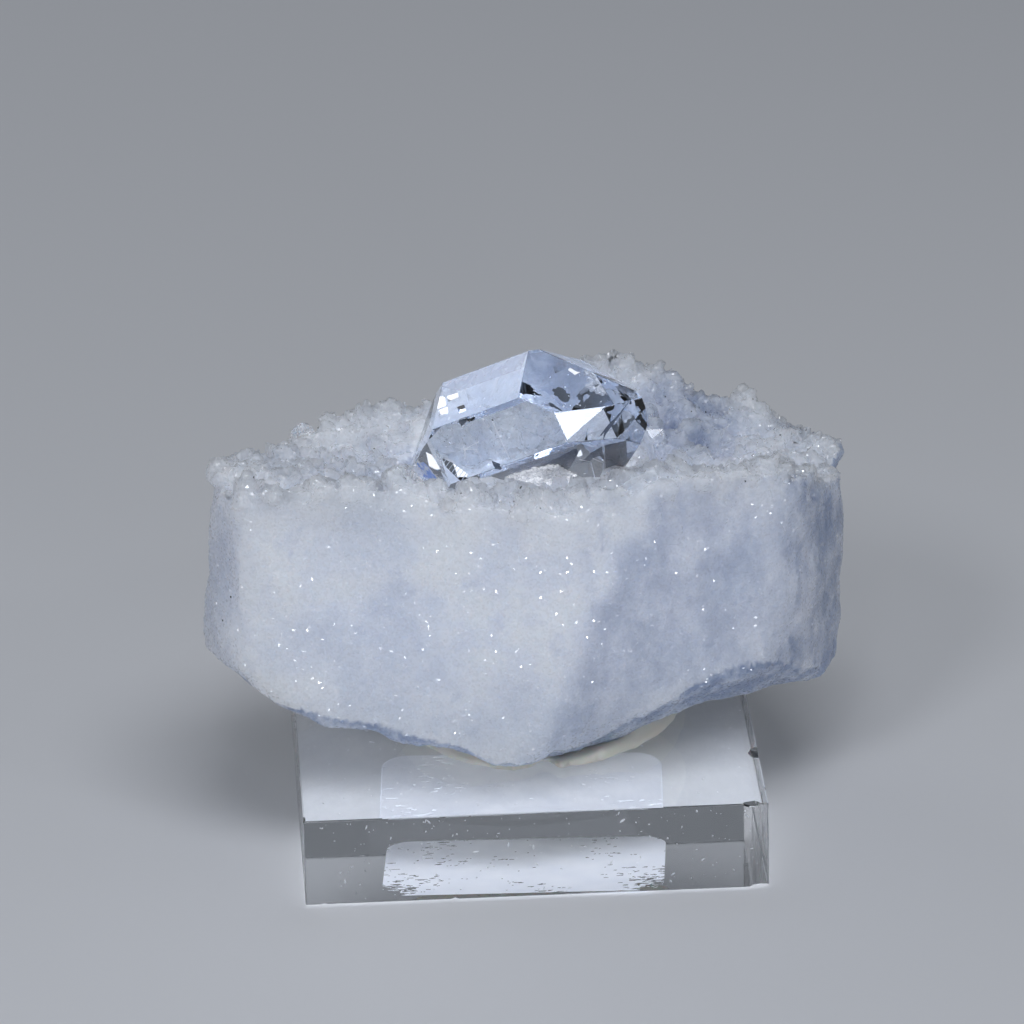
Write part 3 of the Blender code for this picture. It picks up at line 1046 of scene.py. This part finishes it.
def clear_quartz():
    """Rock crystal: clear and glassy. Its faces are very slightly wavy, as grown ones are."""
    made, tree, shader, where = new_material(
        "clear rock crystal", Base_Color=(1, 1, 1, 1), IOR=QUARTZ_IOR, Roughness=0.0,
        Transmission_Weight=1.0,
    )
    bump(tree, shader, noise_of(tree, where, WAVE_LENGTH, 2), WAVE_HEIGHT)
    haze = add_node(tree, "ShaderNodeVolumeAbsorption", {"Color": QUARTZ_TINT, "Density": QUARTZ_DENSITY})
    tree.links.new(haze.outputs[0], tree.nodes["Material Output"].inputs["Volume"])
    return made


rock_crystal = clear_quartz()
crystal = add_piece("quartz_crystal", crystal_form(), rock_crystal)
crystal.visible_shadow = False
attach(crystal, "root")
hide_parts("crystal")


# Sealed in the crystal
# What the quartz grew over: pale specks and hair-fine needles, a black grain, a milky veil,
# slate-dark films, a bluish film in a crack, and a thin dark double blade near the right tip.
SPECKS = 110
SPECK_FIELD = (436, 622, 372, 486)
NEEDLE = 0.035 * MM
FILM = 0.02 * MM
NEEDLES = (
    ((492, 420.5), (509.5, 459), 0.5, 0.045), ((464.5, 449.5), (461.5, 440.5), 0.5, 0.03),
    ((464.5, 449.5), (479, 441.5), 0.6, 0.035), ((464.5, 449.5), (477.5, 449.5), 0.5, 0.03),
    ((464.5, 449.5), (465.5, 459), 0.5, 0.05), ((464.5, 449.5), (455, 447), 0.6, 0.03),
    ((580, 459.5), (591, 462), 0.5, 0.06), ((591, 462), (596, 482), 0.5, 0.06),
    ((593, 458.5), (603.5, 463), 0.4, 0.06), ((603.5, 463), (604.5, 478), 0.4, 0.06),
    ((604.5, 446), (605.5, 478), 0.3, 0.03),
)
BLACK_GRAIN = ((492.5, 420), 0.5, 0.075)
VEILS = (
    (((506, 466.5), (540, 454), (566, 444.5), (576, 444), (578, 447), (552, 461), (511, 476)), 0.25),
    (((436, 396), (447, 381), (522, 353), (527, 352.5), (521, 368.5), (459, 391)), 0.3),
)
DARK_FILMS = (
    (((540.5, 464), (560, 456.5), (577, 448.5), (579, 453), (570, 469), (551, 472)), 0.6),
    (((604.5, 445.5), (628, 438.5), (629, 462), (618, 473), (606, 478)), 0.5),
    (((581, 463), (592, 452), (602.5, 446.5), (603, 455), (594, 458), (590, 461)), 0.5),
    (((491.5, 460.5), (500, 464), (503.5, 470), (499, 472.5), (493.5, 466)), 0.7),
)
BLUE_FILM = (
    ((416.5, 463), (423.5, 462), (429.5, 467.5), (437, 479), (430.5, 482), (423.5, 477)), 0.7
)
DARK_BLADES = (
    (((628.5, 402), (629, 402.5), (606, 434), (584, 459), (583.5, 458.5), (604.5, 431)), 0.5),
    (((619, 414), (609, 426), (601, 436), (600, 435.5), (608, 425)), 0.8),
)


def sealed_specks(count, field, smallest, largest, seed):
    """Tiny angular grains at random depths behind this field of the photograph."""
    draw = random.Random(seed)
    left, right, top, bottom = field
    bm = bmesh.new()
    while count:
        pixel = (draw.uniform(left, right), draw.uniform(top, bottom))
        size = smallest + (largest - smallest) * draw.random() ** 3
        place = sealed(pixel, draw.uniform(0.4, 3.5))
        if from_crystal(np.array([place]))[0][0] > -2 * size * MM - WALL_LEFT:
            continue
        turn = Matrix.Rotation(draw.uniform(0, math.tau), 4, Vector((draw.random(), 1, draw.random())))
        spot = Matrix.Translation(place) @ turn @ Matrix.Diagonal((1, draw.uniform(0.3, 1), 0.5, 1))
        bmesh.ops.create_icosphere(bm, subdivisions=1, radius=size * MM, matrix=spot)
        count -= 1
    return bm


def sealed_needles():
    """Hair-fine straight needles and short spikes."""
    bm = bmesh.new()
    for start, end, depth, thickness in NEEDLES:
        first, last = sealed(start, depth), sealed(end, depth)
        middle = first.lerp(last, 0.5)
        first, last = kept_inside(first, middle), kept_inside(last, middle)
        along = last - first
        turn = along.to_track_quat("Z", "Y").to_matrix().to_4x4()
        bmesh.ops.create_cone(
            bm, cap_ends=True, segments=6, radius1=thickness * MM, radius2=thickness * 0.4 * MM,
            depth=along.length, matrix=Matrix.Translation(middle) @ turn,
        )
    return bm


def sealed_films(films):
    """Thin flat films that lie just behind the faces the camera sees them through."""
    bm = bmesh.new()
    for outline, depth in films:
        count = len(outline)
        centre = (sum(p[0] for p in outline) / count, sum(p[1] for p in outline) / count)
        facing = Vector(QUARTZ_NORMALS[first_face(centre)[0]])
        thin_plate(bm, sealed_outline(outline, depth, facing), facing * -FILM)
    return bm


def pale_inclusion():
    """Clay and fluid trapped in quartz: chalk white, matt."""
    made, tree, shader, where = new_material("pale mineral specks", Roughness=0.6)
    cloud = noise_of(tree, where, 0.5 * MM, 3)
    tree.links.new(blend_colours(tree, cloud, "#FFFFFF", "#DDE4F2"), shader.inputs["Base Color"])
    return made


def milky_veil():
    """A plane of tiny bubbles: pale, a little see-through."""
    made, tree, shader, where = new_material("milky veil", Roughness=0.5)
    cloud = noise_of(tree, where, 0.8 * MM, 4)
    tree.links.new(blend_colours(tree, cloud, "#CDD5E8", "#B4BFD6"), shader.inputs["Base Color"])
    tree.links.new(ramp(tree, cloud, 0.2, 0.8, 0.2, 0.5), shader.inputs["Alpha"])
    return made


def dark_film():
    """Slate-dark mineral film: smooth and glossy, speckled where it is broken."""
    made, tree, shader, where = new_material("slate dark film", Roughness=0.15, IOR=1.6)
    speck = noise_of(tree, where, 0.16 * MM, 2, 0.7)
    tint = blend_colours(tree, ramp(tree, speck, 0.62, 0.72), "#3E4A5E", "#A9B5CC")
    tree.links.new(tint, shader.inputs["Base Color"])
    return made


def blue_film():
    """A crack so thin that it throws back only blue, with finer and paler growth lines."""
    made, tree, shader, where = new_material("bluish thin film", Roughness=0.25)
    lines = add_node(tree, "ShaderNodeMapping", {"Vector": where, "Scale": (1, 0.2, 1)}).outputs[0]
    grade = noise_of(tree, lines, 0.35 * MM, 3)
    tint = blend_colours(tree, ramp(tree, grade, 0.4, 0.65), "#86ABF5", "#EAF1FF")
    tree.links.new(tint, shader.inputs["Base Color"])
    return made


def black_grain():
    """One grain of black bitumen."""
    made, tree, shader, where = new_material("bitumen", Roughness=0.3)
    rough = noise_of(tree, where, 0.05 * MM, 2)
    tree.links.new(blend_colours(tree, rough, "#0B0D12", "#2A2E38"), shader.inputs["Base Color"])
    return made


grain = bmesh.new()
bmesh.ops.create_icosphere(
    grain, subdivisions=2, radius=BLACK_GRAIN[2] * MM,
    matrix=Matrix.Translation(sealed(*BLACK_GRAIN[:2])) @ Matrix.Diagonal((1, 1.3, 0.8, 1)),
)
slate = dark_film()
pale = pale_inclusion()
for piece in (
    add_piece("pale_specks", sealed_specks(SPECKS, SPECK_FIELD, 0.02, 0.11, 3), pale),
    add_piece("needles", sealed_needles(), pale),
    add_piece("black_grain", grain, black_grain()),
    add_piece("milky_veil", sealed_films(VEILS), milky_veil()),
    add_piece("dark_films", sealed_films(DARK_FILMS), slate),
    add_piece("blue_film", sealed_films([BLUE_FILM]), blue_film()),
    add_piece("dark_blades", sealed_films(DARK_BLADES), slate),
):
    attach(piece, "root")


# Rubble and side crystals
# Broken and stunted quartz crystals packed in the gap under the crystal's front edge, and a few
# larger clear ones that grew beside its tips.
RUBBLE_BAND = (
    (506, 477), (530, 469), (556, 464), (568, 471), (577, 477), (562, 484), (540, 488), (514, 488),
)
# Photograph pixel, length in millimetres, lean to the right and towards the viewer in degrees.
SIDE_CRYSTALS = (
    ((652, 437), 2.3, 35, 30), ((404, 478), 2.6, -30, 25), ((661, 452), 1.5, 10, 40),
    ((436, 489), 1.7, -20, 50), ((698, 443), 1.3, 40, 30), ((303, 434), 2.2, -10, 20),
    ((664, 478), 1.4, 15, 55), ((478, 497), 1.5, 5, 60),
)
ROCK = BVHTree.FromPolygons(
    [v.co.copy() for v in matrix.data.vertices], [tuple(p.vertices) for p in matrix.data.polygons]
)


def rubble_ground():
    """A patch just outside the crystal's lower front face, for the rubble to grow on."""
    face = first_face(RUBBLE_BAND[0])[0]
    bm = bmesh.new()
    normal = Vector(QUARTZ_NORMALS[face])
    verts = []
    for pixel in RUBBLE_BAND:
        way = sight(pixel)
        far = (QUARTZ_REACHES[face] - normal.dot(CAMERA_SPOT)) / normal.dot(way)
        verts.append(bm.verts.new(CAMERA_SPOT + way * far + normal * 0.05 * MM))
    made = bm.faces.new(verts)
    made.normal_update()
    if made.normal.dot(normal) < 0:
        made.normal_flip()
    bmesh.ops.triangulate(bm, faces=bm.faces[:])
    return add_piece("rubble ground", bm)


def side_crystals():
    bm = bmesh.new()
    for pixel, length, lean_right, lean_front in SIDE_CRYSTALS:
        place, normal, _, _ = ROCK.ray_cast(CAMERA_SPOT, sight(pixel))
        if place is None:
            continue
        turn = Matrix.Rotation(math.radians(lean_right), 4, "Y")
        turn = Matrix.Rotation(math.radians(lean_front), 4, "X") @ turn
        form = grain_form(0.36, 0.3)
        form.transform(Matrix.Translation(place) @ turn @ Matrix.Scale(length * MM, 4))
        mesh = bpy.data.meshes.new("one")
        form.to_mesh(mesh)
        form.free()
        bm.from_mesh(mesh)
        bpy.data.meshes.remove(mesh)
    return bm


ground = rubble_ground()
broken = add_piece("broken grain", grain_form(0.3, 0.4))
rubble = grow(
    "quartz_rubble", ground, np.ones(len(ground.data.vertices)), broken, crushed_quartz(),
    Spacing=0.16 * MM, Density=22 / MM**2, Smallest=0.25 * MM, Largest=0.75 * MM, Lean=1.3,
    Sink=-0.15, Seed=21,
)
beside = add_piece("side_crystals", side_crystals(), rock_crystal)
rubble.visible_shadow = False
beside.visible_shadow = False
for piece in (rubble, beside):
    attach(piece, "root")
bpy.data.objects.remove(ground)
bpy.data.objects.remove(broken)


# Studio
# A pale floor and a few soft boxes.
FLOOR_HALF = 6.0
FLOOR_PALE = "#D0D1D2"


def soft_box(name, direction, distance, width, depth, power, colour="#F4F7FF"):
    """A rectangular soft box that looks at the specimen from this direction."""
    data = bpy.data.lights.new(name, "AREA")
    data.shape = "RECTANGLE"
    data.size, data.size_y = width, depth
    data.energy = power
    data.color = linear(colour)[:3]
    made = bpy.data.objects.new(name, data)
    bpy.context.scene.collection.objects.link(made)
    target = Vector((0, 0, 0.02))
    made.location = target + Vector(direction).normalized() * distance
    made.rotation_mode = "QUATERNION"
    made.rotation_quaternion = Vector(direction).to_track_quat("Z", "Y")
    return made


soft_box("key", (-0.42, -0.80, 0.70), 0.40, 0.065, 0.065, 0.29)
soft_box("top", (0.10, -0.50, 1.0), 0.45, 0.22, 0.16, 0.80)
soft_box("back", (-0.609, 0.654, 0.449), 0.42, 0.22, 0.16, 0.14)
soft_box("front", (0.2388, -0.955, 0.1796), 0.45, 0.045, 0.045, 0.11)
soft_box("small high", (-0.10, -0.75, 0.65), 0.45, 0.03, 0.03, 0.06)
soft_box("small right", (0.55, -0.60, 0.58), 0.45, 0.03, 0.03, 0.05)

world = bpy.data.worlds.new("studio")
bpy.context.scene.world = world
world.use_nodes = True
world.node_tree.nodes["Background"].inputs["Color"].default_value = linear("#DCE3EE")
world.node_tree.nodes["Background"].inputs["Strength"].default_value = 0.2

bm = bmesh.new()
bmesh.ops.create_grid(bm, x_segments=1, y_segments=1, size=FLOOR_HALF)
floor_paint, tree, shader, where = new_material(
    "pale floor", Base_Color=linear(FLOOR_PALE), Roughness=0.7
)
floor = add_piece("floor", bm, floor_paint)
bpy.context.scene.view_settings.view_transform = "Standard"
